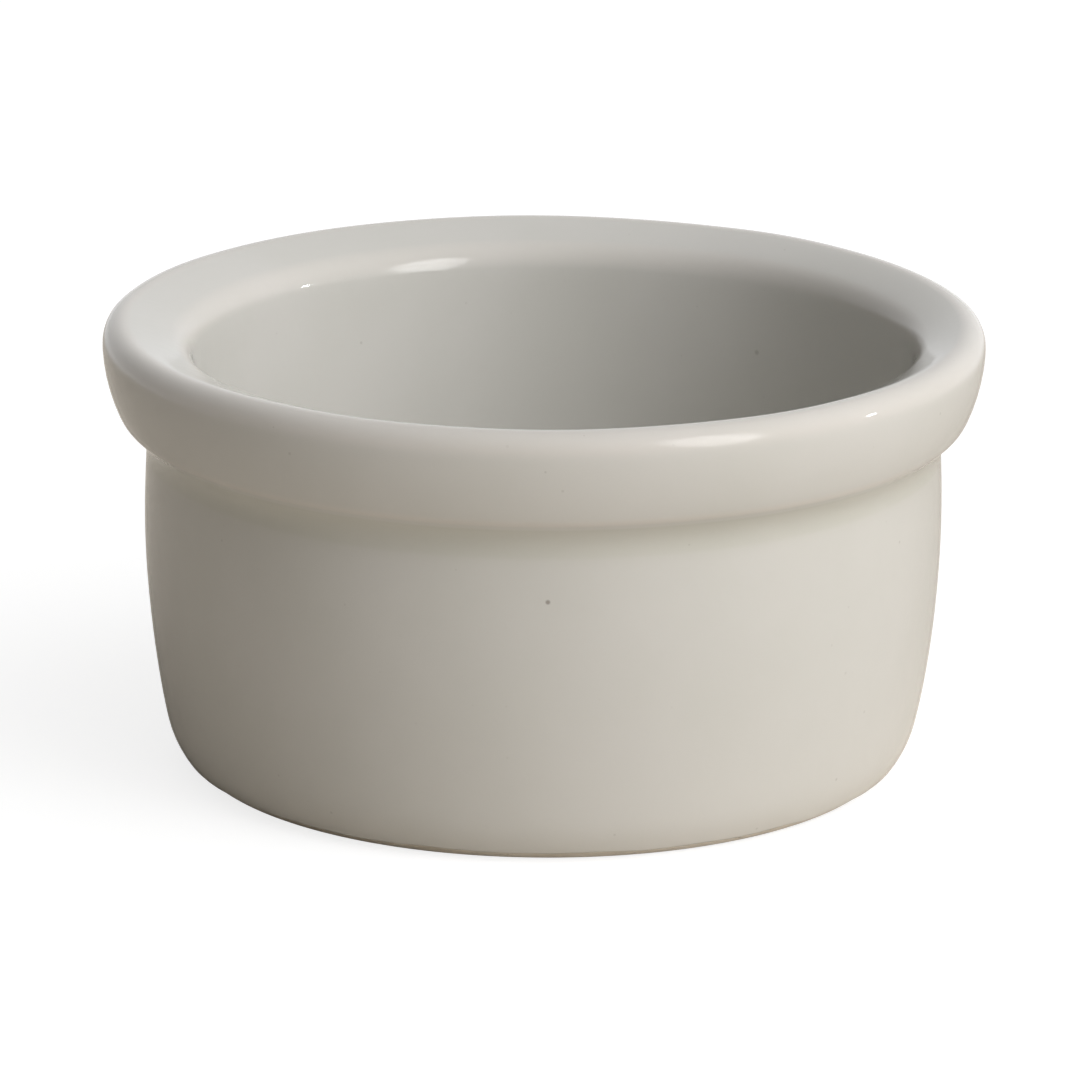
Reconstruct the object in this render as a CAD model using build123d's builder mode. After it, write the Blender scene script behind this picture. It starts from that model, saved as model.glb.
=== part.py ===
from build123d import *
import os

# Ramekin: a round, straight-sided baking pot of fired white clay under a glossy glaze.
# Millimetres, and degrees for the slope and the taper. The pot stands on the XY plane,
# and Z is its axis, up through the mouth. Sections are drawn in XZ as (radius, height),
# glaze included, and turned about Z.

# Overall size
rim_diameter = 86.0
height = 44.2

# Collar, the flared band under the rim, and the cove that leads it into the wall.
# Each draw-in is how much nearer to the axis a stretch ends than it begins.
rim_round = 2.0
collar_height = 9.4
collar_draw_in = 1.85
collar_foot_round = 1.4
cove_height = 3.6
cove_draw_in = 2.35

# Outside wall, heel and foot ring
wall_bulge = 0.85
wall_draw_in = 1.9
heel_height = 4.6
heel_draw_in = 2.8
foot_ring_width = 3.4
foot_round = 1.0

# Recess under the pot, inside the foot ring
recess_depth = 1.6
recess_slope = 1.8
recess_round = 0.9

# Inside: the lip slopes down from the rim's crest and then turns into the wall
lip_top_round = 1.3
lip_slope = 20.5
lip_width = 3.9
lip_inner_round = 2.8
wall_taper = 3.0
floor_thickness = 4.6
floor_corner_round = 7.0

# Glaze. It stops short of the foot ring's face, which is wiped bare.
glaze_thickness = 0.3
glaze_line_height = 0.9

# Places that follow from the sizes above
crest_radius = rim_diameter / 2 - rim_round
collar_foot_radius = rim_diameter / 2 - collar_draw_in
waist_radius = collar_foot_radius - cove_draw_in
heel_radius = waist_radius - wall_draw_in
foot_radius = heel_radius - heel_draw_in
foot_inner_radius = foot_radius - foot_ring_width
floor_height = recess_depth + floor_thickness
collar_foot = (collar_foot_radius, height - collar_height)
waist = (waist_radius, height - collar_height - cove_height)
heel_top = (heel_radius, heel_height)
foot_edge = (foot_radius, -glaze_thickness)
foot_inner_edge = (foot_inner_radius, -glaze_thickness)
recess_edge = (foot_inner_radius - recess_slope, recess_depth)

os.makedirs("parts", exist_ok=True)


def corner(section, point):
    """The corner of a section that lies nearest to a point."""
    return section.vertices().sort_by_distance(point)[0]


# Half a section of the pot as it comes out of the glaze bath, with glaze all round it.
# Its foot ring reaches below the XY plane by the glaze that is then wiped off. The foot
# of the collar is rounded later, on the clay and on the coat each with its own radius.
with BuildSketch(Plane.XZ) as dipped_section:
    with BuildLine():
        rim_centre = (crest_radius, height - rim_round)
        rim = CenterArc(rim_centre, rim_round, 90, -90)
        collar = TangentArc(rim @ 1, collar_foot, tangent=rim % 1)
        wall = SagittaArc(waist, heel_top, wall_bulge)
        cove = TangentArc(waist, collar_foot, tangent=-(wall % 0))
        heel = TangentArc(heel_top, foot_edge, tangent=wall % 1)
        lip_centre = (crest_radius, height - lip_top_round)
        lip_top = CenterArc(lip_centre, lip_top_round, 90, lip_slope)
        lip = PolarLine(lip_top @ 1, lip_width, 180 + lip_slope)
        lip_turn = 90 - wall_taper - lip_slope
        lip_side = JernArc(lip @ 1, lip % 1, lip_inner_round, lip_turn)
        inner_drop = (lip_side @ 1).Y - floor_height
        inner_wall = PolarLine(
            lip_side @ 1, inner_drop, 270 - wall_taper, length_mode=LengthMode.VERTICAL
        )
        floor_corner = inner_wall @ 1
        floor_and_underside = Polyline(
            floor_corner,
            (0, floor_height),
            (0, recess_depth),
            recess_edge,
            foot_inner_edge,
            foot_edge,
        )
    make_face()
    fillet(corner(dipped_section, foot_edge), foot_round)
    fillet(corner(dipped_section, foot_inner_edge), foot_round)
    fillet(corner(dipped_section, recess_edge), recess_round)
    fillet(corner(dipped_section, floor_corner), floor_corner_round)


# Fired clay pot: all that lies under the glaze, down to the foot ring's bare face
with BuildPart() as china_body:
    with BuildSketch(Plane.XZ) as clay_section:
        add(dipped_section.sketch_local)
        mirror(about=Plane.YZ)
        offset(amount=-glaze_thickness)
        split(bisect_by=Plane.YZ)
        fillet(corner(clay_section, collar_foot), collar_foot_round - glaze_thickness)
    revolve(axis=Axis.Z)
china_body.part.label = "china_body"
export_step(china_body.part, "parts/china_body.step")


# Main coat of glaze: up the outside from the foot ring, over the rim, down the inside
# and across the floor, in one skin
with BuildPart() as glaze_coat:
    with BuildSketch(Plane.XZ) as coat_section:
        add(dipped_section.sketch_local)
        fillet(corner(coat_section, collar_foot), collar_foot_round)
        add(clay_section.sketch_local, mode=Mode.SUBTRACT)
        with Locations((0, -glaze_thickness)):
            Rectangle(
                foot_inner_radius + foot_ring_width / 2,
                glaze_thickness + recess_depth + floor_thickness / 2,
                align=Align.MIN,
                mode=Mode.SUBTRACT,
            )
            Rectangle(
                rim_diameter,
                glaze_thickness + glaze_line_height,
                align=Align.MIN,
                mode=Mode.SUBTRACT,
            )
    revolve(axis=Axis.Z)
glaze_coat.part.label = "glaze_coat"
export_step(glaze_coat.part, "parts/glaze_coat.step")


# Patch of glaze in the recess, parted from the coat by the bare foot ring
with BuildPart() as underside_glaze:
    with BuildSketch(Plane.XZ) as patch_section:
        add(dipped_section.sketch_local)
        add(clay_section.sketch_local, mode=Mode.SUBTRACT)
        with Locations((0, glaze_line_height)):
            Rectangle(
                foot_inner_radius,
                recess_depth - glaze_line_height + floor_thickness / 2,
                align=Align.MIN,
                mode=Mode.INTERSECT,
            )
    revolve(axis=Axis.Z)
underside_glaze.part.label = "underside_glaze"
export_step(underside_glaze.part, "parts/underside_glaze.step")
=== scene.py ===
"""A round, glazed baking pot: its fired clay, the glaze on it, and a plain pale studio.

Metres, with the pot's axis on Z and its foot on the XY plane. The camera looks along +Y.
"""
import math

import bmesh
import bpy
import numpy as np
from bpy.props import (
    FloatProperty,
    FloatVectorProperty,
    IntProperty,
    PointerProperty,
)
from bpy.types import Operator, Panel, PropertyGroup
from mathutils import Matrix, Vector


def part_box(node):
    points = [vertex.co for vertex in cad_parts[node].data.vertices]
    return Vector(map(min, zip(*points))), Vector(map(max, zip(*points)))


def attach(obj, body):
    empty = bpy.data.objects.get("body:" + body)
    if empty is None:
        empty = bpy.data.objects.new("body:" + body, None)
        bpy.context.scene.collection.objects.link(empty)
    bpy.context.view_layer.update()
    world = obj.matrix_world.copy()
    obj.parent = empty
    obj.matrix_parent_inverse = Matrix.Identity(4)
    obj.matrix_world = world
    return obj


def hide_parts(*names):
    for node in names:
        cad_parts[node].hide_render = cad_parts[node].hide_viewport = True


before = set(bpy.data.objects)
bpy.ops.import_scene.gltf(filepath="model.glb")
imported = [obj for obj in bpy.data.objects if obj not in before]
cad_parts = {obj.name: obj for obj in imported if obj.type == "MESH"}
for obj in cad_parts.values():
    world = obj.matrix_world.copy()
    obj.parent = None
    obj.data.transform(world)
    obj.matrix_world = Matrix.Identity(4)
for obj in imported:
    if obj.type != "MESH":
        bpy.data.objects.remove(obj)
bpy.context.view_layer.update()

bl_info = {
    "name": "Glazed Ramekin",
    "version": (1, 0, 0),
    "blender": (4, 5, 0),
    "location": "3D View > Sidebar > Ramekin",
    "description": "Builds a glazed ramekin and a plain studio round it",
    "category": "Object",
}

MM = 0.001

# Sizes read off the packed solids
clay_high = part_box("china_body")[1]
coat_low, coat_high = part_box("glaze_coat")
patch_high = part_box("underside_glaze")[1]
RIM_RADIUS = (coat_high.y - coat_low.y) / 2
HEIGHT = coat_high.z
GLAZE_THICKNESS = coat_high.z - clay_high.z
GLAZE_LINE = coat_low.z
RECESS_DEPTH = patch_high.z - GLAZE_THICKNESS


# Settings that a maker would change


class PotShape(PropertyGroup):
    """Sizes of the pot's section that its box doesn't give."""

    rim_round: FloatProperty(
        name="Rim Round", description="Outer radius of the rim's edge",
        default=2.0 * MM, min=0, unit="LENGTH",
    )
    lip_top_round: FloatProperty(
        name="Lip Top Round", description="Radius between the rim's crest and the lip",
        default=1.3 * MM, min=0, unit="LENGTH",
    )
    lip_slope: FloatProperty(
        name="Lip Slope", description="How steeply the lip falls towards the inside",
        default=math.radians(20.5), min=0, subtype="ANGLE",
    )
    lip_width: FloatProperty(
        name="Lip Width", description="Length of the lip's slope, between its rounded ends",
        default=3.9 * MM, min=0, unit="LENGTH",
    )
    lip_inner_round: FloatProperty(
        name="Lip Inner Round", description="Radius between the lip and the inside wall",
        default=2.8 * MM, min=0, unit="LENGTH",
    )
    collar_height: FloatProperty(
        name="Collar Height", description="From the rim's top to the collar's foot",
        default=9.4 * MM, min=0, unit="LENGTH",
    )
    collar_draw_in: FloatProperty(
        name="Collar Draw-in", description="How much the collar narrows to its foot",
        default=1.85 * MM, min=0, unit="LENGTH",
    )
    cove_height: FloatProperty(
        name="Cove Height", description="Height of the hollow under the collar",
        default=3.6 * MM, min=0, unit="LENGTH",
    )
    cove_draw_in: FloatProperty(
        name="Cove Draw-in", description="How much the pot narrows in the cove",
        default=2.35 * MM, min=0, unit="LENGTH",
    )
    wall_draw_in: FloatProperty(
        name="Wall Draw-in", description="How much the wall narrows down to the heel",
        default=1.9 * MM, min=0, unit="LENGTH",
    )
    wall_bulge: FloatProperty(
        name="Wall Bulge", description="How far the wall bows outwards",
        default=0.85 * MM, min=0, unit="LENGTH",
    )
    heel_height: FloatProperty(
        name="Heel Height", description="Where the wall turns in towards the foot",
        default=4.6 * MM, min=0, unit="LENGTH",
    )
    heel_draw_in: FloatProperty(
        name="Heel Draw-in", description="How much the heel narrows to the foot ring",
        default=2.8 * MM, min=0, unit="LENGTH",
    )
    foot_ring_width: FloatProperty(
        name="Foot Ring Width", description="Width of the ring that the pot stands on",
        default=3.4 * MM, min=0, unit="LENGTH",
    )
    recess_slope: FloatProperty(
        name="Recess Slope", description="Width of the slope inside the foot ring",
        default=1.8 * MM, min=0, unit="LENGTH",
    )
    wall_taper: FloatProperty(
        name="Wall Taper", description="How far the inside wall leans in on its way down",
        default=math.radians(3), min=0, subtype="ANGLE",
    )
    floor_thickness: FloatProperty(
        name="Floor Thickness", description="Thickness of the floor, glaze included",
        default=4.6 * MM, min=0, unit="LENGTH",
    )
    floor_corner_round: FloatProperty(
        name="Floor Corner Round", description="Radius between the inside wall and floor",
        default=7.0 * MM, min=0, unit="LENGTH",
    )
    softening: FloatProperty(
        name="Softening", description="How far the melted glaze eases each corner",
        default=0.6 * MM, min=0, unit="LENGTH",
    )
    mouth_shift: FloatProperty(
        name="Mouth Shift", description="How far the inside lies off the outside's centre",
        default=0.85 * MM, unit="LENGTH",
    )
    wave_depth: FloatProperty(
        name="Wave Depth", description="Depth of the gentle unevenness of the wall",
        default=0.1 * MM, min=0, unit="LENGTH",
    )
    wave_size: FloatProperty(
        name="Wave Size", description="Width of one wave of that unevenness",
        default=22 * MM, min=0, unit="LENGTH",
    )
    line_wander: FloatProperty(
        name="Glaze Line Wander", description="How far the wiped edge of the glaze strays",
        default=0.3 * MM, min=0, unit="LENGTH",
    )
    turns: IntProperty(
        name="Turns", description="Sections in one turn about the axis",
        default=224, min=12,
    )
    seed: IntProperty(
        name="Seed", description="Picks another pot of the same batch", default=3,
    )


class PotFinish(PropertyGroup):
    """Colours and gloss of the glaze and the bare clay."""

    glaze_color: FloatVectorProperty(
        name="Glaze", description="Colour of the glaze on a flat wall",
        subtype="COLOR", size=3, min=0, max=1, default=(0.615, 0.60, 0.565),
    )
    pooled_color: FloatVectorProperty(
        name="Pooled Glaze", description="Colour where thick glaze gathers in a hollow",
        subtype="COLOR", size=3, min=0, max=1, default=(0.58, 0.57, 0.52),
    )
    thin_color: FloatVectorProperty(
        name="Thin Glaze", description="Colour where the glaze runs thin over an edge",
        subtype="COLOR", size=3, min=0, max=1, default=(0.64, 0.61, 0.57),
    )
    speck_color: FloatVectorProperty(
        name="Specks", description="Colour of iron specks and kiln dust",
        subtype="COLOR", size=3, min=0, max=1, default=(0.20, 0.17, 0.14),
    )
    clay_color: FloatVectorProperty(
        name="Clay", description="Colour of the bare fired clay",
        subtype="COLOR", size=3, min=0, max=1, default=(0.66, 0.61, 0.53),
    )
    worn_color: FloatVectorProperty(
        name="Worn Clay", description="Colour that shelves rub into the foot ring",
        subtype="COLOR", size=3, min=0, max=1, default=(0.36, 0.32, 0.27),
    )
    glaze_roughness: FloatProperty(
        name="Glaze Roughness", description="Roughness of the melted glaze",
        default=0.055, min=0, max=1, subtype="FACTOR",
    )
    clay_roughness: FloatProperty(
        name="Clay Roughness", description="Roughness of the bare clay",
        default=0.8, min=0, max=1, subtype="FACTOR",
    )


class Studio(PropertyGroup):
    """Camera, lamps, floor and surroundings."""

    camera_distance: FloatProperty(
        name="Camera Distance", description="From the camera to the pot's middle",
        default=781 * MM, min=0, unit="LENGTH",
    )
    camera_pitch: FloatProperty(
        name="Camera Pitch", description="How far the camera looks down",
        default=0.284, subtype="ANGLE",
    )
    camera_roll: FloatProperty(
        name="Camera Roll", description="How far the camera leans about its own axis",
        default=-0.007, subtype="ANGLE",
    )
    camera_offset: FloatVectorProperty(
        name="Camera Offset", description="How far the camera is moved right and down",
        size=2, unit="LENGTH", default=(-0.278 * MM, 0.489 * MM),
    )
    camera_lens: FloatProperty(
        name="Camera Lens", description="Focal length in millimetres",
        default=265.5, min=1,
    )
    lamp_distance: FloatProperty(
        name="Lamp Distance", description="From the lamps to the pot's rim",
        default=0.5, min=0, unit="LENGTH",
    )
    key_heading: FloatProperty(
        name="Key Heading", description="Where the main lamp stands, round from the camera",
        default=math.radians(43.7), subtype="ANGLE",
    )
    key_rise: FloatProperty(
        name="Key Rise", description="Height of the main lamp above the horizon",
        default=math.radians(22), subtype="ANGLE",
    )
    key_size: FloatVectorProperty(
        name="Key Size", description="Width and height of the main lamp",
        size=2, unit="LENGTH", default=(0.22, 0.42),
    )
    key_power: FloatProperty(
        name="Key Power", description="Power of the main lamp",
        default=0.57, min=0, unit="POWER",
    )
    glint_power: FloatProperty(
        name="Glint Power", description="Power of the front lamp that only the gloss shows",
        default=9.0, min=0, unit="POWER",
    )
    side_heading: FloatProperty(
        name="Side Heading", description="Where the small side lamp stands",
        default=math.radians(89), subtype="ANGLE",
    )
    side_rise: FloatProperty(
        name="Side Rise", description="Height of the small side lamp above the horizon",
        default=math.radians(8), subtype="ANGLE",
    )
    side_size: FloatProperty(
        name="Side Size", description="Width of the small side lamp",
        default=0.035, min=0, unit="LENGTH",
    )
    side_power: FloatProperty(
        name="Side Power", description="Power of the small side lamp",
        default=0.16, min=0, unit="POWER",
    )
    floor_color: FloatVectorProperty(
        name="Floor", description="Colour that the floor throws back at the pot",
        subtype="COLOR", size=3, min=0, max=1, default=(0.74, 0.68, 0.60),
    )
    front_glow: FloatProperty(
        name="Front Glow", description="Soft light from the right and the front",
        default=2.72, min=0,
    )
    back_glow: FloatProperty(
        name="Back Glow", description="Soft light from behind and above",
        default=0.44, min=0,
    )
    left_glow: FloatProperty(
        name="Left Glow", description="Soft light from low behind on the left",
        default=0.34, min=0,
    )


# The pot's section, as points (radius, height)

# Distance between its sample points
SAMPLE_STEP = 0.05 * MM

# Width of the bead that ends the glaze, and the stretch beside it that may stray
BEAD_WIDTH = 0.5 * MM
SLIDE_REACH = 2.5 * MM

# How far the glaze's hidden side is sunk into the clay
SINK = 0.04 * MM

# Curvatures, in radians per metre, that count as a full edge and as a full hollow
EDGE_TURN = 450
HOLLOW_TURN = 200

# Longest gap and largest turn between the points kept for a mesh
CLAY_DETAIL = (2.5 * MM, math.radians(7))
GLAZE_DETAIL = (1.2 * MM, math.radians(4.5))
HIDDEN_DETAIL = (2.5 * MM, math.radians(9))


def arc(centre, radius, start, sweep):
    """Points along an arc, from the angle start through the angle sweep."""
    count = max(2, math.ceil(abs(sweep) * radius / SAMPLE_STEP))
    angles = start + sweep * np.linspace(0, 1, count + 1)
    return np.array(centre) + radius * np.column_stack([np.cos(angles), np.sin(angles)])


def tangent_arc(start, heading, end):
    """Points of the arc that leaves start along heading and reaches end."""
    start, end = np.array(start), np.array(end)
    heading = np.array(heading) / np.linalg.norm(heading)
    side = np.array([-heading[1], heading[0]])
    chord = end - start
    radius = chord @ chord / (2 * (chord @ side))
    centre = start + side * radius
    begin = math.atan2(*(start - centre)[::-1])
    return arc(centre, abs(radius), begin, 2 * math.atan2(chord @ side, chord @ heading))


def bowed_heading(start, end, bulge):
    """Heading at the start of the arc from start to end that bows outwards by bulge."""
    chord = np.array(end) - np.array(start)
    lead = 2 * math.atan(2 * bulge / np.linalg.norm(chord))
    cos, sin = math.cos(lead), math.sin(lead)
    return np.array([chord[0] * cos - chord[1] * sin, chord[0] * sin + chord[1] * cos])


def dipped_outline(shape):
    """The glazed pot from the middle of its floor, over the rim, to its underside."""
    crest = RIM_RADIUS - shape.rim_round
    collar_foot = (RIM_RADIUS - shape.collar_draw_in, HEIGHT - shape.collar_height)
    waist = (collar_foot[0] - shape.cove_draw_in, collar_foot[1] - shape.cove_height)
    heel_top = (waist[0] - shape.wall_draw_in, shape.heel_height)
    foot_edge = (heel_top[0] - shape.heel_draw_in, -GLAZE_THICKNESS)
    foot_inner = foot_edge[0] - shape.foot_ring_width
    floor_height = RECESS_DEPTH + shape.floor_thickness
    upright = math.pi / 2
    lip_top = arc(
        (crest, HEIGHT - shape.lip_top_round), shape.lip_top_round,
        upright + shape.lip_slope, -shape.lip_slope,
    )
    cos, sin = math.cos(shape.lip_slope), math.sin(shape.lip_slope)
    slope_end = lip_top[0] - np.array([cos, sin]) * shape.lip_width
    lip_side = arc(
        slope_end + np.array([sin, -cos]) * shape.lip_inner_round, shape.lip_inner_round,
        math.pi - shape.wall_taper, shape.wall_taper + shape.lip_slope - upright,
    )
    drop = lip_side[0][1] - floor_height
    corner_radius = lip_side[0][0] - drop * math.tan(shape.wall_taper)
    corner_turn = math.pi / 2 - shape.wall_taper
    floor_radius = corner_radius - shape.floor_corner_round * math.tan(corner_turn / 2)
    floor_corner = arc(
        (floor_radius, floor_height + shape.floor_corner_round),
        shape.floor_corner_round, -math.pi / 2, corner_turn,
    )
    rim = arc((crest, HEIGHT - shape.rim_round), shape.rim_round, math.pi / 2, -math.pi / 2)
    collar = tangent_arc(rim[-1], (0, -1), collar_foot)
    wall_heading = bowed_heading(waist, heel_top, shape.wall_bulge)
    cove = tangent_arc(waist, -wall_heading, collar_foot)[::-1]
    wall = tangent_arc(waist, wall_heading, heel_top)
    heel = tangent_arc(heel_top, wall[-1] - wall[-2], foot_edge)
    underside = [
        (foot_inner, -GLAZE_THICKNESS),
        (foot_inner - shape.recess_slope, RECESS_DEPTH),
        (0, RECESS_DEPTH),
    ]
    stretches = [lip_top, rim, collar, cove, wall, heel]
    joined = [stretch[1:] for stretch in stretches]
    return np.vstack([[(0, floor_height)], floor_corner, lip_side, *joined, underside])


def even_steps(outline):
    """The outline again, with its points one sample step apart."""
    run = np.concatenate([[0], np.cumsum(np.linalg.norm(np.diff(outline, axis=0), axis=1))])
    places = np.linspace(0, run[-1], math.ceil(run[-1] / SAMPLE_STEP) + 1)
    return np.column_stack([np.interp(places, run, outline[:, k]) for k in (0, 1)])


def eased(outline, width):
    """The outline with each corner eased over about that width."""
    reach = math.ceil(4 * width / SAMPLE_STEP)
    bell = np.exp(-0.5 * (np.arange(-reach, reach + 1) * SAMPLE_STEP / width) ** 2)
    mirrored = np.array([-1, 1])
    before = outline[1:reach + 1][::-1] * mirrored
    after = outline[-reach - 1:-1][::-1] * mirrored
    padded = np.vstack([before, outline, after])
    return np.column_stack([
        np.convolve(padded[:, k], bell / bell.sum(), mode="valid") for k in (0, 1)
    ])


def outward(outline):
    """The unit normal at each point, out of the pot."""
    along = np.gradient(outline, axis=0)
    along /= np.linalg.norm(along, axis=1)[:, None]
    return np.column_stack([-along[:, 1], along[:, 0]])


def thinned(outline, numbers, longest_gap, largest_turn):
    """The points to keep out of numbers: more of them round a bend."""
    normal = outward(outline)
    kept = [numbers[0]]
    for number in numbers[1:-1]:
        gap = abs(number - kept[-1]) * SAMPLE_STEP
        turn = math.acos(min(1, normal[number] @ normal[kept[-1]]))
        if gap >= longest_gap or turn >= largest_turn:
            kept.append(number)
    return kept + [numbers[-1]]


class Section:
    """The pot's section: its glaze, its clay, and what varies along them."""

    def __init__(self, shape):
        self.glaze = eased(even_steps(dipped_outline(shape)), shape.softening)
        self.normal = outward(self.glaze)
        self.clay = self.glaze - self.normal * GLAZE_THICKNESS
        self.number = np.arange(len(self.clay))
        crest = int(np.argmax(self.clay[:, 1]))
        foot = crest + int(np.argmin(self.clay[crest:, 1]))
        glazed = self.clay[:, 1] > GLAZE_LINE
        self.coat_line = int(self.number[glazed & (self.number < foot)][-1])
        self.patch_line = int(self.number[glazed & (self.number > foot)][0])
        lip_length = (
            shape.lip_top_round * shape.lip_slope + shape.lip_width
            + shape.lip_inner_round * (math.pi / 2 - shape.lip_slope)
        )
        share = np.clip((crest - self.number) * SAMPLE_STEP / lip_length, 0, 1)
        self.inside = share * share * (3 - 2 * share)
        along = np.column_stack([self.normal[:, 1], -self.normal[:, 0]])
        bend = (np.gradient(self.normal, axis=0) * along).sum(axis=1) / SAMPLE_STEP
        depth = np.where(bend > 0, -bend / EDGE_TURN, -bend / HOLLOW_TURN)
        self.depth = np.clip(depth, -1, 1)

    def past_line(self, line):
        """How far each point lies from the point where the glaze ends."""
        return np.abs(self.number - line) * SAMPLE_STEP

    def glaze_surface(self, line):
        """The glaze's surface, which ends at the line in a rounded bead."""
        bead = np.clip(self.past_line(line) / BEAD_WIDTH, 0, 1)
        thickness = (GLAZE_THICKNESS + SINK) * np.sqrt(1 - (1 - bead) ** 2) - SINK
        return self.clay + self.normal * thickness[:, None]

    def glaze_bed(self):
        """The glaze's hidden side, sunk a little into the clay."""
        return self.clay - self.normal * SINK

    def slide(self, line):
        """Directions along the clay in which the glaze's end may stray."""
        freedom = np.clip(1 - self.past_line(line) / SLIDE_REACH, 0, 1) ** 2
        along = np.column_stack([-self.normal[:, 1], self.normal[:, 0]])
        return along * freedom[:, None]


# Geometry Nodes

# Heights between which the wall's waves grow, so that the foot stays level
WAVE_START = 2 * MM
WAVE_FULL = 9 * MM

# Brings a noise texture's middle range to about one either way
NOISE_GAIN = 4.0

# Scale of the noise round the pot that leads the glaze's edge astray
STRAY_SCALE = 5.0

# Points nearer to each other than this become one
MERGE_DISTANCE = 0.001 * MM


def new_node(tree, kind, inputs=None, **settings):
    """Adds a node, with its settings, and its inputs by name or number."""
    node = tree.nodes.new(kind)
    for name, value in settings.items():
        setattr(node, name, value)
    for name, value in (inputs or {}).items():
        connect(tree, value, node.inputs[name])
    return node


def connect(tree, value, socket):
    """Links a socket, or sets it to a plain value."""
    if isinstance(value, bpy.types.NodeSocket):
        tree.links.new(value, socket)
    else:
        socket.default_value = value


def add_socket(tree, name, kind, direction="INPUT", default=None):
    """Adds a named input or output to a tree."""
    socket = tree.interface.new_socket(
        name=name, in_out=direction, socket_type="NodeSocket" + kind
    )
    if default is not None:
        socket.default_value = default
    return socket


def math_node(tree, operation, *values):
    """The result of a sum on numbers."""
    inputs = dict(enumerate(values))
    return new_node(tree, "ShaderNodeMath", inputs, operation=operation).outputs[0]


def vector_math(tree, operation, *values):
    """The result of a sum on vectors."""
    inputs = dict(enumerate(values))
    return new_node(tree, "ShaderNodeVectorMath", inputs, operation=operation).outputs[0]


def vector_measure(tree, operation, *values):
    """The number that a sum on vectors gives."""
    inputs = dict(enumerate(values))
    node = new_node(tree, "ShaderNodeVectorMath", inputs, operation=operation)
    return node.outputs["Value"]


def scaled(tree, vector, factor):
    """A vector times a number."""
    inputs = {"Vector": vector, "Scale": factor}
    return new_node(tree, "ShaderNodeVectorMath", inputs, operation="SCALE").outputs[0]


def mapped(tree, value, low, high, to_low=0.0, to_high=1.0):
    """A value carried from one range to another, eased at both ends."""
    inputs = {"Value": value, 1: low, 2: high, 3: to_low, 4: to_high}
    node = new_node(tree, "ShaderNodeMapRange", inputs, interpolation_type="SMOOTHSTEP")
    return node.outputs[0]


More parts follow.
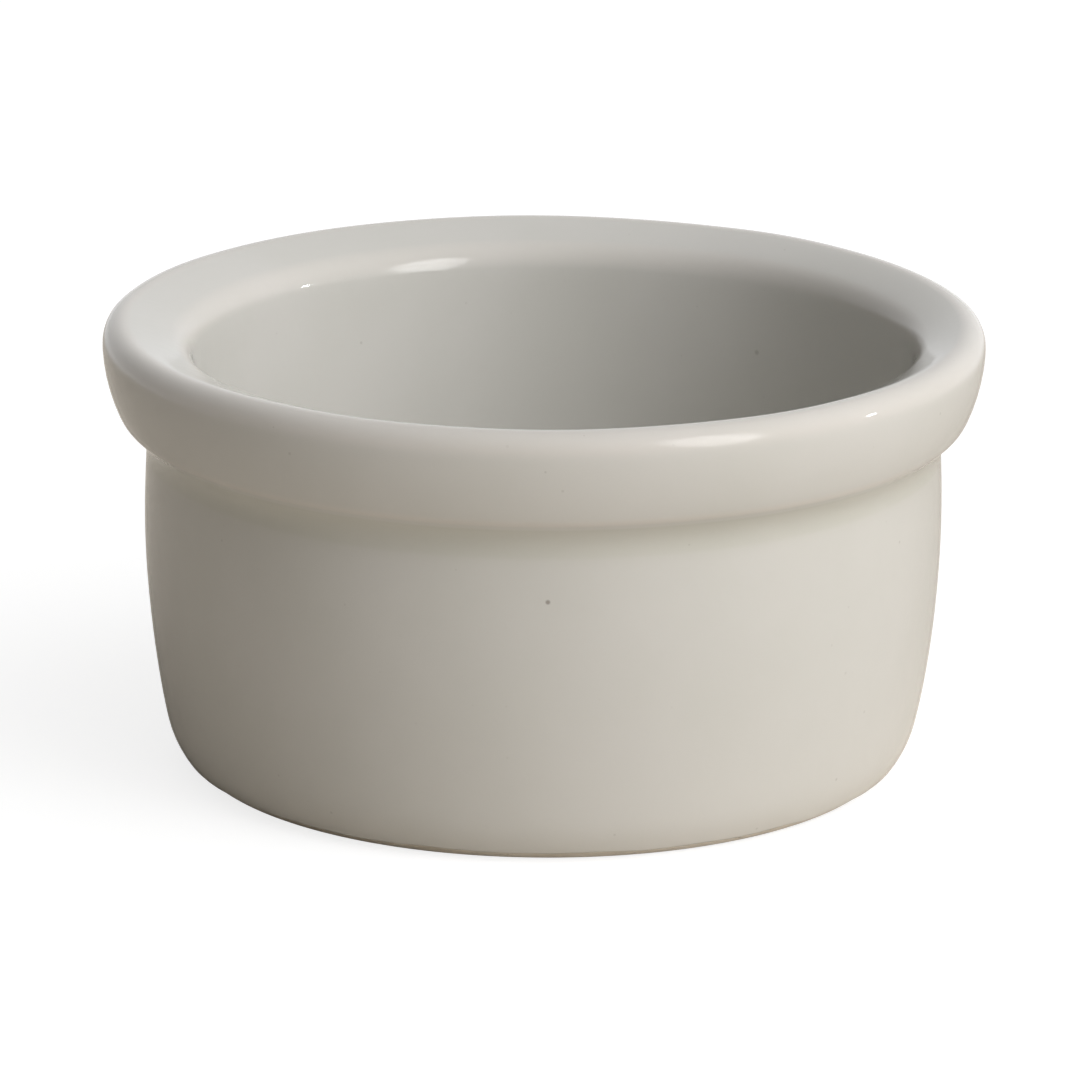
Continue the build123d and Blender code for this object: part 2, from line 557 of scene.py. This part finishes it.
def turned_skin_tree():
    """Turns a section about Z, sets its inside off centre and waves it a little."""
    tree = bpy.data.node_groups.new("Turned Skin", "GeometryNodeTree")
    add_socket(tree, "Section", "Geometry")
    add_socket(tree, "Turns", "Int", default=224)
    add_socket(tree, "Guide Radius", "Float", default=RIM_RADIUS)
    add_socket(tree, "Mouth Shift", "Float")
    add_socket(tree, "Wave Depth", "Float")
    add_socket(tree, "Wave Size", "Float", default=22 * MM)
    add_socket(tree, "Line Wander", "Float")
    add_socket(tree, "Seed", "Float")
    add_socket(tree, "Material", "Material")
    add_socket(tree, "Skin", "Geometry", "OUTPUT")
    given = new_node(tree, "NodeGroupInput").outputs

    # The section stands away from the guide circle by its distance from the axis
    drawn = new_node(tree, "GeometryNodeMeshToCurve", {"Mesh": given["Section"]})
    inwards = math_node(tree, "MULTIPLY", given["Guide Radius"], -1.0)
    step = new_node(tree, "ShaderNodeCombineXYZ", {"X": inwards})
    placed = new_node(tree, "GeometryNodeTransform", {
        "Geometry": drawn.outputs[0], "Translation": step.outputs[0], "Scale": (1, -1, 1),
    })
    guide = new_node(tree, "GeometryNodeCurvePrimitiveCircle", {
        "Resolution": given["Turns"], "Radius": given["Guide Radius"],
    })
    swept = new_node(tree, "GeometryNodeCurveToMesh", {
        "Curve": guide.outputs[0], "Profile Curve": placed.outputs[0],
    })
    closed = new_node(tree, "GeometryNodeMergeByDistance", {
        "Geometry": swept.outputs[0], "Distance": MERGE_DISTANCE,
    })

    # Inside of the pot to one side
    place = new_node(tree, "GeometryNodeInputPosition").outputs[0]
    shift = math_node(tree, "MULTIPLY", float_attribute(tree, "inside"), given["Mouth Shift"])
    sideways = new_node(tree, "ShaderNodeCombineXYZ", {"X": shift}).outputs[0]

    # Waves, still at the foot
    wave = new_node(tree, "ShaderNodeTexNoise", {
        "Vector": vector_math(tree, "DIVIDE", place, spread(tree, given["Wave Size"])),
        "Scale": 1.0, "Detail": 1.0,
    }, noise_dimensions="4D")
    tree.links.new(given["Seed"], wave.inputs["W"])
    centred = vector_math(tree, "SUBTRACT", wave.outputs["Color"], (0.5, 0.5, 0.5))
    height = new_node(tree, "ShaderNodeSeparateXYZ", {0: place}).outputs["Z"]
    rise = mapped(tree, height, WAVE_START, WAVE_FULL)
    strength = math_node(tree, "MULTIPLY", rise, given["Wave Depth"])
    waved = scaled(tree, centred, math_node(tree, "MULTIPLY", strength, NOISE_GAIN))

    # Straying of the glaze's end, in and out and up and down along the clay
    radial = vector_math(tree, "NORMALIZE", vector_math(tree, "MULTIPLY", place, (1, 1, 0)))
    stray = new_node(tree, "ShaderNodeTexNoise", {
        "Vector": radial, "Scale": STRAY_SCALE, "Detail": 3.0,
    }, noise_dimensions="4D")
    tree.links.new(given["Seed"], stray.inputs["W"])
    amount = math_node(tree, "SUBTRACT", stray.outputs["Fac"], 0.5)
    amount = math_node(tree, "MULTIPLY", amount, given["Line Wander"])
    amount = math_node(tree, "MULTIPLY", amount, NOISE_GAIN)
    out = math_node(tree, "MULTIPLY", float_attribute(tree, "slide_out"), amount)
    up = math_node(tree, "MULTIPLY", float_attribute(tree, "slide_up"), amount)
    rising = new_node(tree, "ShaderNodeCombineXYZ", {"Z": up}).outputs[0]
    strayed = vector_math(tree, "ADD", scaled(tree, radial, out), rising)

    offset = vector_math(tree, "ADD", vector_math(tree, "ADD", sideways, waved), strayed)
    shaped = new_node(tree, "GeometryNodeSetPosition", {
        "Geometry": closed.outputs[0], "Offset": offset,
    })
    smooth = new_node(tree, "GeometryNodeSetShadeSmooth", {"Geometry": shaped.outputs[0]})
    real = new_node(tree, "GeometryNodeRealizeInstances", {"Geometry": smooth.outputs[0]})
    dressed = new_node(tree, "GeometryNodeSetMaterial", {
        "Geometry": real.outputs[0], "Material": given["Material"],
    })
    new_node(tree, "NodeGroupOutput", {"Skin": dressed.outputs[0]})
    return tree


def float_attribute(tree, name):
    """A number kept on the section's points."""
    node = new_node(tree, "GeometryNodeInputNamedAttribute", data_type="FLOAT")
    node.inputs["Name"].default_value = name
    return node.outputs["Attribute"]


def spread(tree, value):
    """One number as all three parts of a vector."""
    return new_node(tree, "ShaderNodeCombineXYZ", {0: value, 1: value, 2: value}).outputs[0]


def turned_piece(context, name, points, values, material):
    """Turns a section into a plain closed mesh through the Turned Skin tree."""
    shape = context.scene.ramekin_shape
    mesh = bpy.data.meshes.new(name)
    edges = [(i, i + 1) for i in range(len(points) - 1)]
    mesh.from_pydata([(radius, height, 0) for radius, height in points], edges, [])
    for key, numbers in values.items():
        mesh.attributes.new(key, "FLOAT", "POINT").data.foreach_set("value", numbers)
    piece = bpy.data.objects.new(name, mesh)
    context.collection.objects.link(piece)
    tree = bpy.data.node_groups.get("Turned Skin") or turned_skin_tree()
    modifier = piece.modifiers.new("Turned Skin", "NODES")
    modifier.node_group = tree
    settings = {
        "Turns": shape.turns,
        "Guide Radius": RIM_RADIUS,
        "Mouth Shift": shape.mouth_shift,
        "Wave Depth": shape.wave_depth,
        "Wave Size": shape.wave_size,
        "Line Wander": shape.line_wander,
        "Seed": float(shape.seed),
        "Material": material,
    }
    for item in tree.interface.items_tree:
        if item.name in settings:
            modifier[item.identifier] = settings[item.name]
    made = piece.evaluated_get(context.evaluated_depsgraph_get())
    finished = bpy.data.meshes.new_from_object(made)
    piece.modifiers.clear()
    piece.data = finished
    bpy.data.meshes.remove(mesh)
    finished.name = name
    if not finished.materials:
        finished.materials.append(material)
    face_outwards(finished)
    return piece


def face_outwards(mesh):
    """Turns every face of a closed shell outwards, and stops if the shell is open."""
    shell = bmesh.new()
    shell.from_mesh(mesh)
    bmesh.ops.recalc_face_normals(shell, faces=shell.faces)
    open_edges = [edge for edge in shell.edges if not edge.is_manifold]
    shell.to_mesh(mesh)
    shell.free()
    if open_edges:
        raise RuntimeError(f"{mesh.name} has {len(open_edges)} open edges")


# Materials

# The one dark speck that stands out on the front of the wall: its place, the radius of
# its dark middle and its outer radius
LONE_SPECK = (0.5 * MM, -38.9 * MM, 26.9 * MM)
LONE_SPECK_CORE = 0.1 * MM
LONE_SPECK_REACH = 0.32 * MM

# How strongly each kind of speck darkens the glaze or the clay
DUST_STRENGTH = 0.22
SPECK_STRENGTH = 0.35
LONE_SPECK_STRENGTH = 0.7
GRIT_STRENGTH = 0.5

# How much the mottle dulls the glaze, and how much wear smooths the clay
MOTTLE_DULLING = 1.3
WEAR_SMOOTHING = 0.7

GLAZE_SPECULAR = 0.3
WHITE = (1.0, 1.0, 1.0, 1.0)


def fired_grain_group():
    """Fine grain of fired clay and glaze: a cloudy mottle and a height for bumps."""
    group = bpy.data.node_groups.new("Fired Grain", "ShaderNodeTree")
    add_socket(group, "Vector", "Vector")
    add_socket(group, "Cloud Size", "Float", default=12 * MM)
    add_socket(group, "Grain Size", "Float", default=1 * MM)
    add_socket(group, "Mottle", "Float", "OUTPUT")
    add_socket(group, "Height", "Float", "OUTPUT")
    given = new_node(group, "NodeGroupInput").outputs
    cloud = new_node(group, "ShaderNodeTexNoise", {
        "Vector": given["Vector"], "Detail": 4.0,
        "Scale": math_node(group, "DIVIDE", 1.0, given["Cloud Size"]),
    })
    grain = new_node(group, "ShaderNodeTexNoise", {
        "Vector": given["Vector"], "Detail": 2.0,
        "Scale": math_node(group, "DIVIDE", 1.0, given["Grain Size"]),
    })
    new_node(group, "NodeGroupOutput", {
        "Mottle": mapped(group, cloud.outputs["Fac"], 0.3, 0.7),
        "Height": grain.outputs["Fac"],
    })
    return group


def specks_group():
    """Round specks strewn through a body, in random cells of a grid."""
    group = bpy.data.node_groups.new("Specks", "ShaderNodeTree")
    add_socket(group, "Vector", "Vector")
    add_socket(group, "Cell Size", "Float", default=6 * MM)
    add_socket(group, "Speck Size", "Float", default=0.3 * MM)
    add_socket(group, "Share", "Float", default=0.4)
    add_socket(group, "Mask", "Float", "OUTPUT")
    given = new_node(group, "NodeGroupInput").outputs
    cells = new_node(group, "ShaderNodeTexVoronoi", {
        "Vector": given["Vector"],
        "Scale": math_node(group, "DIVIDE", 1.0, given["Cell Size"]),
    })
    away = math_node(group, "MULTIPLY", cells.outputs["Distance"], given["Cell Size"])
    luck = new_node(group, "ShaderNodeSeparateColor", {0: cells.outputs["Color"]}).outputs
    reach = math_node(group, "MULTIPLY", given["Speck Size"], luck["Green"])
    core = math_node(group, "MULTIPLY", reach, 0.4)
    spot = mapped(group, away, core, reach, 1.0, 0.0)
    chosen = math_node(group, "LESS_THAN", luck["Red"], given["Share"])
    shade = mapped(group, luck["Blue"], 0.0, 1.0, 0.25, 1.0)
    mask = math_node(group, "MULTIPLY", math_node(group, "MULTIPLY", spot, chosen), shade)
    new_node(group, "NodeGroupOutput", {"Mask": mask})
    return group


def group_node(tree, name, make, **inputs):
    """Places a shared shader group, made at its first use, and sets its inputs."""
    node = tree.nodes.new("ShaderNodeGroup")
    node.node_tree = bpy.data.node_groups.get(name) or make()
    for key, value in inputs.items():
        connect(tree, value, node.inputs[key.replace("_", " ").title()])
    return node.outputs


def mixed_color(tree, factor, first, second, blend="MIX"):
    """A colour between two, or one blended with the other."""
    node = new_node(tree, "ShaderNodeMix", data_type="RGBA", blend_type=blend)
    connect(tree, factor, node.inputs[0])
    connect(tree, first, node.inputs[6])
    connect(tree, second, node.inputs[7])
    return node.outputs[2]


def opaque(color):
    """A colour property with full alpha."""
    return (*color, 1.0)


def start_material(name):
    """An empty material, with its tree, its Principled shader and Object coordinates."""
    material = bpy.data.materials.new(name)
    material.use_nodes = True
    tree = material.node_tree
    tree.nodes.clear()
    shader = tree.nodes.new("ShaderNodeBsdfPrincipled")
    new_node(tree, "ShaderNodeOutputMaterial", {"Surface": shader.outputs[0]})
    coords = new_node(tree, "ShaderNodeTexCoord").outputs["Object"]
    return material, tree, shader, coords


def glaze_material(finish):
    """Glossy off-white glaze: clouded, pooled in hollows, with specks and pinholes."""
    material, tree, shader, coords = start_material("White Glaze")
    grain = group_node(
        tree, "Fired Grain", fired_grain_group,
        vector=coords, cloud_size=13 * MM, grain_size=1.3 * MM,
    )
    depth = new_node(tree, "ShaderNodeAttribute", attribute_name="glaze_depth").outputs["Fac"]
    pooled = mapped(tree, depth, 0.05, 0.9)
    thin = mapped(tree, depth, -0.25, -1.0)
    color = mixed_color(tree, pooled, opaque(finish.glaze_color), opaque(finish.pooled_color))
    color = mixed_color(tree, thin, color, opaque(finish.thin_color))
    cloud = mixed_color(tree, grain["Mottle"], (0.975, 0.978, 0.97, 1), WHITE)
    color = mixed_color(tree, 1.0, color, cloud, "MULTIPLY")
    specks = group_node(
        tree, "Specks", specks_group,
        vector=coords, cell_size=7.0 * MM, speck_size=0.4 * MM, share=0.12,
    )
    dust = group_node(
        tree, "Specks", specks_group,
        vector=coords, cell_size=1.7 * MM, speck_size=0.22 * MM, share=0.3,
    )
    fine = math_node(tree, "MULTIPLY", dust["Mask"], DUST_STRENGTH)
    coarse = math_node(tree, "MULTIPLY", specks["Mask"], SPECK_STRENGTH)
    away = vector_measure(tree, "DISTANCE", coords, LONE_SPECK)
    lone = mapped(
        tree, away, LONE_SPECK_CORE, LONE_SPECK_REACH, LONE_SPECK_STRENGTH, 0.0
    )
    dirt = math_node(tree, "MAXIMUM", math_node(tree, "MAXIMUM", fine, coarse), lone)
    color = mixed_color(tree, dirt, color, opaque(finish.speck_color))
    tree.links.new(color, shader.inputs["Base Color"])
    roughness = mapped(
        tree, grain["Mottle"], 0.0, 1.0,
        finish.glaze_roughness * MOTTLE_DULLING, finish.glaze_roughness,
    )
    tree.links.new(roughness, shader.inputs["Roughness"])
    shader.inputs["Specular IOR Level"].default_value = GLAZE_SPECULAR
    pinholes = group_node(
        tree, "Specks", specks_group,
        vector=vector_math(tree, "ADD", coords, (0.013, 0.007, 0.003)),
        cell_size=3.1 * MM, speck_size=0.3 * MM, share=0.3,
    )
    pits = math_node(tree, "MULTIPLY", pinholes["Mask"], -0.8)
    height = math_node(tree, "ADD", grain["Height"], pits)
    bump = new_node(tree, "ShaderNodeBump", {
        "Height": height, "Distance": 0.02 * MM, "Strength": 0.5,
    })
    tree.links.new(bump.outputs[0], shader.inputs["Normal"])
    return material


def clay_material(finish):
    """Bare fired clay: matt, gritty, and rubbed grey on the face of the foot ring."""
    material, tree, shader, coords = start_material("Fired Clay")
    grain = group_node(
        tree, "Fired Grain", fired_grain_group,
        vector=coords, cloud_size=6 * MM, grain_size=0.45 * MM,
    )
    grit = group_node(
        tree, "Specks", specks_group,
        vector=coords, cell_size=1.1 * MM, speck_size=0.3 * MM, share=0.5,
    )
    warm = mixed_color(tree, grain["Mottle"], (0.9, 0.88, 0.85, 1), WHITE)
    color = mixed_color(tree, 1.0, opaque(finish.clay_color), warm, "MULTIPLY")
    height = new_node(tree, "ShaderNodeSeparateXYZ", {0: coords}).outputs["Z"]
    face = mapped(tree, height, 0.02 * MM, 0.35 * MM, 1.0, 0.0)
    scuff = new_node(tree, "ShaderNodeTexNoise", {
        "Vector": coords, "Scale": 260.0, "Detail": 6.0, "Roughness": 0.7,
    })
    worn = math_node(tree, "MULTIPLY", face, mapped(tree, scuff.outputs["Fac"], 0.45, 0.72))
    color = mixed_color(tree, worn, color, opaque(finish.worn_color))
    speckled = math_node(tree, "MULTIPLY", grit["Mask"], GRIT_STRENGTH)
    color = mixed_color(tree, speckled, color, opaque(finish.speck_color))
    tree.links.new(color, shader.inputs["Base Color"])
    roughness = mapped(
        tree, worn, 0.0, 1.0,
        finish.clay_roughness, finish.clay_roughness * WEAR_SMOOTHING,
    )
    tree.links.new(roughness, shader.inputs["Roughness"])
    rough = math_node(tree, "ADD", grain["Height"], math_node(tree, "MULTIPLY", grit["Mask"], 0.6))
    bump = new_node(tree, "ShaderNodeBump", {
        "Height": rough, "Distance": 0.08 * MM, "Strength": 0.8,
    })
    tree.links.new(bump.outputs[0], shader.inputs["Normal"])
    return material


# Operators


class RAMEKIN_OT_clay_pot(Operator):
    """Build the fired clay pot, bare on its foot ring"""

    bl_idname = "ramekin.clay_pot"
    bl_label = "Clay Pot"

    def execute(self, context):
        section = Section(context.scene.ramekin_shape)
        kept = thinned(section.glaze, list(section.number), *CLAY_DETAIL)
        piece = turned_piece(
            context, "clay_pot", section.clay[kept],
            {"inside": section.inside[kept]},
            clay_material(context.scene.ramekin_finish),
        )
        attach(piece, "root")
        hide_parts("china_body")
        return {"FINISHED"}


def glaze_piece(context, name, section, numbers, line):
    """A glaze skin over the numbered stretch of the clay, whose last point is the line."""
    surface = section.glaze_surface(line)
    kept = thinned(surface, numbers, *GLAZE_DETAIL)
    hidden = thinned(section.glaze, numbers[::-1], *HIDDEN_DETAIL)[1:]
    points = np.vstack([surface[kept], section.glaze_bed()[hidden]])
    order = kept + hidden
    slide = section.slide(line)[order]
    values = {
        "inside": section.inside[order],
        "glaze_depth": section.depth[order],
        "slide_out": slide[:, 0].copy(),
        "slide_up": slide[:, 1].copy(),
    }
    material = bpy.data.materials.get("White Glaze")
    material = material or glaze_material(context.scene.ramekin_finish)
    return turned_piece(context, name, points, values, material)


class RAMEKIN_OT_glaze_skin(Operator):
    """Build the glaze on the outside, over the rim and down the inside"""

    bl_idname = "ramekin.glaze_skin"
    bl_label = "Glaze Skin"

    def execute(self, context):
        section = Section(context.scene.ramekin_shape)
        numbers = list(range(0, section.coat_line + 1))
        piece = glaze_piece(context, "glaze_skin", section, numbers, section.coat_line)
        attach(piece, "root")
        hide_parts("glaze_coat")
        return {"FINISHED"}


class RAMEKIN_OT_underside_glaze(Operator):
    """Build the patch of glaze in the recess under the pot"""

    bl_idname = "ramekin.underside_glaze"
    bl_label = "Underside Glaze"

    def execute(self, context):
        section = Section(context.scene.ramekin_shape)
        numbers = list(range(len(section.clay) - 1, section.patch_line - 1, -1))
        piece = glaze_piece(
            context, "underside_glaze_skin", section, numbers, section.patch_line
        )
        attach(piece, "root")
        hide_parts("underside_glaze")
        return {"FINISHED"}


# Studio

# Heading round from the camera and rise, both in degrees, and sharpness of each soft light
FRONT_GLOW = (60, 40, 4.0)
BACK_GLOW = (180, 40, 4.0)
LEFT_GLOW = (240, 8, 6.0)

# Distances from the pot's middle at which the mirrored floor starts to turn white and is
# fully white
MIRROR_NEAR = 0.15
MIRROR_FAR = 0.4

# The seen floor: what takes the shadow, and the light of its own that makes it white
SHADOW_GREY = (0.35, 0.35, 0.35, 1)
FLOOR_LIGHT = 0.8
FLOOR_REACH = 5


def seen_directly(tree, mirrored=1.0):
    """1 for the camera, through glass and, as far as mirrored says, in a mirror."""
    path = new_node(tree, "ShaderNodeLightPath").outputs
    glossy = math_node(tree, "MULTIPLY", path["Is Glossy Ray"], mirrored)
    seen = math_node(tree, "MAXIMUM", path["Is Camera Ray"], glossy)
    return math_node(tree, "MAXIMUM", seen, path["Is Transmission Ray"])


def floor_material(studio):
    """White floor that keeps a shadow, and lights the pot with its own plain colour.

    Near the pot the glaze mirrors that plain colour too.
    """
    material = bpy.data.materials.new("Studio Floor")
    material.use_nodes = True
    tree = material.node_tree
    tree.nodes.clear()
    plain = new_node(tree, "ShaderNodeBsdfDiffuse", {"Color": opaque(studio.floor_color)})
    soft = new_node(tree, "ShaderNodeBsdfDiffuse", {"Color": SHADOW_GREY})
    glow = new_node(tree, "ShaderNodeEmission", {"Color": WHITE, "Strength": FLOOR_LIGHT})
    white = new_node(tree, "ShaderNodeAddShader", {0: soft.outputs[0], 1: glow.outputs[0]})
    place = new_node(tree, "ShaderNodeTexCoord").outputs["Object"]
    far = mapped(tree, vector_measure(tree, "LENGTH", place), MIRROR_NEAR, MIRROR_FAR)
    both = new_node(tree, "ShaderNodeMixShader", {
        0: seen_directly(tree, far), 1: plain.outputs[0], 2: white.outputs[0],
    })
    new_node(tree, "ShaderNodeOutputMaterial", {"Surface": both.outputs[0]})
    return material


def heading_towards(heading, rise):
    """The unit vector that points at a light."""
    return Vector((
        math.sin(heading) * math.cos(rise), -math.cos(heading) * math.cos(rise),
        math.sin(rise),
    ))


def glow(tree, direction, heading, rise, sharpness, strength):
    """A broad soft light, brightest towards one side and fading away from it."""
    towards = heading_towards(math.radians(heading), math.radians(rise))
    facing = vector_measure(tree, "DOT_PRODUCT", direction, towards)
    facing = math_node(tree, "MAXIMUM", facing, 0.0)
    return math_node(tree, "MULTIPLY", math_node(tree, "POWER", facing, sharpness), strength)


def studio_world(studio):
    """White surroundings, and a soft light from three sides of them."""
    world = bpy.data.worlds.new("Studio")
    world.use_nodes = True
    tree = world.node_tree
    tree.nodes.clear()
    white = new_node(tree, "ShaderNodeBackground", {"Color": WHITE, "Strength": 1.0})
    direction = new_node(tree, "ShaderNodeTexCoord").outputs["Generated"]
    front = glow(tree, direction, *FRONT_GLOW, studio.front_glow)
    back = glow(tree, direction, *BACK_GLOW, studio.back_glow)
    left = glow(tree, direction, *LEFT_GLOW, studio.left_glow)
    total = math_node(tree, "ADD", math_node(tree, "ADD", front, back), left)
    sky = new_node(tree, "ShaderNodeBackground", {"Color": WHITE, "Strength": total})
    both = new_node(tree, "ShaderNodeMixShader", {
        0: seen_directly(tree), 1: sky.outputs[0], 2: white.outputs[0],
    })
    new_node(tree, "ShaderNodeOutputWorld", {"Surface": both.outputs[0]})
    return world


def studio_camera(context, studio):
    """The camera, looking down at the pot along +Y."""
    pitch, roll = studio.camera_pitch, studio.camera_roll
    ahead = Vector((0, math.cos(pitch), -math.sin(pitch)))
    right = Vector((1, 0, 0))
    down = ahead.cross(right)
    right, down = (
        math.cos(roll) * right + math.sin(roll) * down,
        -math.sin(roll) * right + math.cos(roll) * down,
    )
    place = Vector((0, 0, HEIGHT / 2)) - ahead * studio.camera_distance
    place += right * studio.camera_offset[0] + down * studio.camera_offset[1]
    data = bpy.data.cameras.new("Camera")
    data.lens = studio.camera_lens
    data.sensor_width = 36
    data.clip_end = 20
    camera = bpy.data.objects.new("Camera", data)
    turn = Matrix((right, -down, -ahead)).transposed()
    camera.matrix_world = Matrix.Translation(place) @ turn.to_4x4()
    context.collection.objects.link(camera)
    context.scene.camera = camera


def lamp(context, name, heading, rise, distance, size, power):
    """A soft oval lamp, aimed at the middle of the pot's mouth."""
    towards = heading_towards(heading, rise)
    data = bpy.data.lights.new(name, "AREA")
    data.shape = "ELLIPSE"
    data.size, data.size_y = size
    data.energy = power
    light = bpy.data.objects.new(name, data)
    light.location = Vector((0, 0, HEIGHT)) + towards * distance
    light.rotation_euler = towards.to_track_quat("Z", "Y").to_euler()
    context.collection.objects.link(light)
    return light


class RAMEKIN_OT_studio(Operator):
    """Build the camera, the lamps, the floor and the surroundings"""

    bl_idname = "ramekin.studio"
    bl_label = "Studio"

    def execute(self, context):
        studio = context.scene.ramekin_studio
        studio_camera(context, studio)
        place = studio.key_heading, studio.key_rise, studio.lamp_distance, studio.key_size
        key = lamp(context, "Key Lamp", *place, studio.key_power)
        glint = lamp(context, "Glint Lamp", *place, studio.glint_power)
        size = studio.side_size
        side = lamp(
            context, "Side Lamp", studio.side_heading, studio.side_rise,
            studio.lamp_distance, (size, size), studio.side_power,
        )
        for light in (key, glint, side):
            light.visible_camera = False
        for light in (glint, side):
            light.visible_diffuse = False
        mesh = bpy.data.meshes.new("floor")
        signs = ((-1, -1), (1, -1), (1, 1), (-1, 1))
        corners = [(x * FLOOR_REACH, y * FLOOR_REACH, 0) for x, y in signs]
        mesh.from_pydata(corners, [], [(0, 1, 2, 3)])
        mesh.materials.append(floor_material(studio))
        floor = bpy.data.objects.new("floor", mesh)
        context.collection.objects.link(floor)
        context.scene.world = studio_world(studio)
        context.scene.view_settings.view_transform = "Standard"
        return {"FINISHED"}


class RAMEKIN_PT_panel(Panel):
    """Settings and buttons of the ramekin"""

    bl_idname = "RAMEKIN_PT_panel"
    bl_label = "Ramekin"
    bl_space_type = "VIEW_3D"
    bl_region_type = "UI"
    bl_category = "Ramekin"

    def draw(self, context):
        layout = self.layout
        for operator in OPERATORS:
            layout.operator(operator.bl_idname)
        for group, attribute in SETTINGS.items():
            box = layout.box()
            box.label(text=group.__doc__)
            for name in group.__annotations__:
                box.prop(getattr(context.scene, attribute), name)


SETTINGS = {
    PotShape: "ramekin_shape",
    PotFinish: "ramekin_finish",
    Studio: "ramekin_studio",
}
OPERATORS = (
    RAMEKIN_OT_clay_pot,
    RAMEKIN_OT_glaze_skin,
    RAMEKIN_OT_underside_glaze,
    RAMEKIN_OT_studio,
)


def register():
    for cls in (*SETTINGS, *OPERATORS, RAMEKIN_PT_panel):
        bpy.utils.register_class(cls)
    for group, attribute in SETTINGS.items():
        setattr(bpy.types.Scene, attribute, PointerProperty(type=group))


def unregister():
    for attribute in SETTINGS.values():
        delattr(bpy.types.Scene, attribute)
    for cls in reversed((*SETTINGS, *OPERATORS, RAMEKIN_PT_panel)):
        bpy.utils.unregister_class(cls)


def main():
    register()
    bpy.ops.ramekin.clay_pot()
    bpy.ops.ramekin.glaze_skin()
    bpy.ops.ramekin.underside_glaze()
    bpy.ops.ramekin.studio()


if __name__ == "__main__":
    main()
